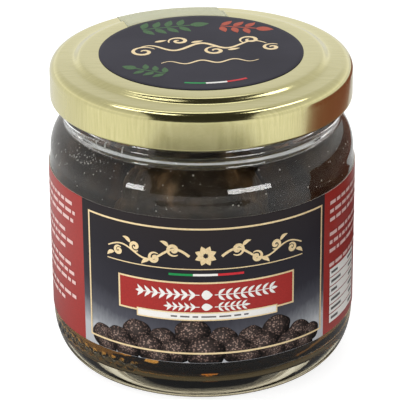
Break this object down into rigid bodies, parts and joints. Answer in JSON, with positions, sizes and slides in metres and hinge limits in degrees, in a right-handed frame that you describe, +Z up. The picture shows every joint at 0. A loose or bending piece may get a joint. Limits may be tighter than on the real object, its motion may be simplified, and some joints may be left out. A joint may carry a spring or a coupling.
{
  "type": "jar of black truffles",
  "caption": "Closed twist-off glass jar of whole black truffles in brine, with a gold lid that unscrews, a printed wrap label and a round lid sticker.",
  "frame": {"origin": "on the jar's axis, at the bearing ring under its base", "axes": "+Z up along the jar's axis, -Y towards the front of the label, +X to its right"},
  "size_m": [0.071, 0.0709, 0.073],
  "materials": {
    "clear_glass": "clear moulded soda-lime glass, faintly green",
    "brine": "clear amber liquid",
    "truffle_skin": "wet brown-black skin with pointed warts",
    "label_paper": "semi-gloss printed paper with gold foil lines",
    "lid_lacquer": "clear gold lacquer over tinplate with a fine straight grain",
    "seal_compound": "soft cream sealing compound",
    "sticker_paper": "semi-gloss printed sticker with gold foil",
    "clear_film": "pale translucent sealing film"
  },
  "bodies": {
    "jar": {"jar_glass": "clear_glass", "wrap_label": "label_paper", "brine": "brine", "truffle_1": "truffle_skin", "truffle_2": "truffle_skin", "truffle_3": "truffle_skin", "truffle_4": "truffle_skin", "truffle_5": "truffle_skin", "truffle_6": "truffle_skin"},
    "seal": {"sealing_ring": "seal_compound"},
    "lid": {"lid_shell": "lid_lacquer", "lid_sticker": "sticker_paper", "seal_strip": "clear_film"}
  },
  "joints": [
    {"name": "lid_rise", "type": "slide", "parent": "jar", "child": "seal", "axis": [0, 0, 1], "range_m": [0, 0.0018]},
    {"name": "lid_twist", "type": "hinge", "parent": "seal", "child": "lid", "pos_m": [0, 0, 0.0675], "axis": [0, 0, 1], "range_deg": [0, 71]}
  ],
  "couplings": [
    {"joint": "lid_rise", "follows": "lid_twist", "m_per_rad": 0.0014324}
  ]
}
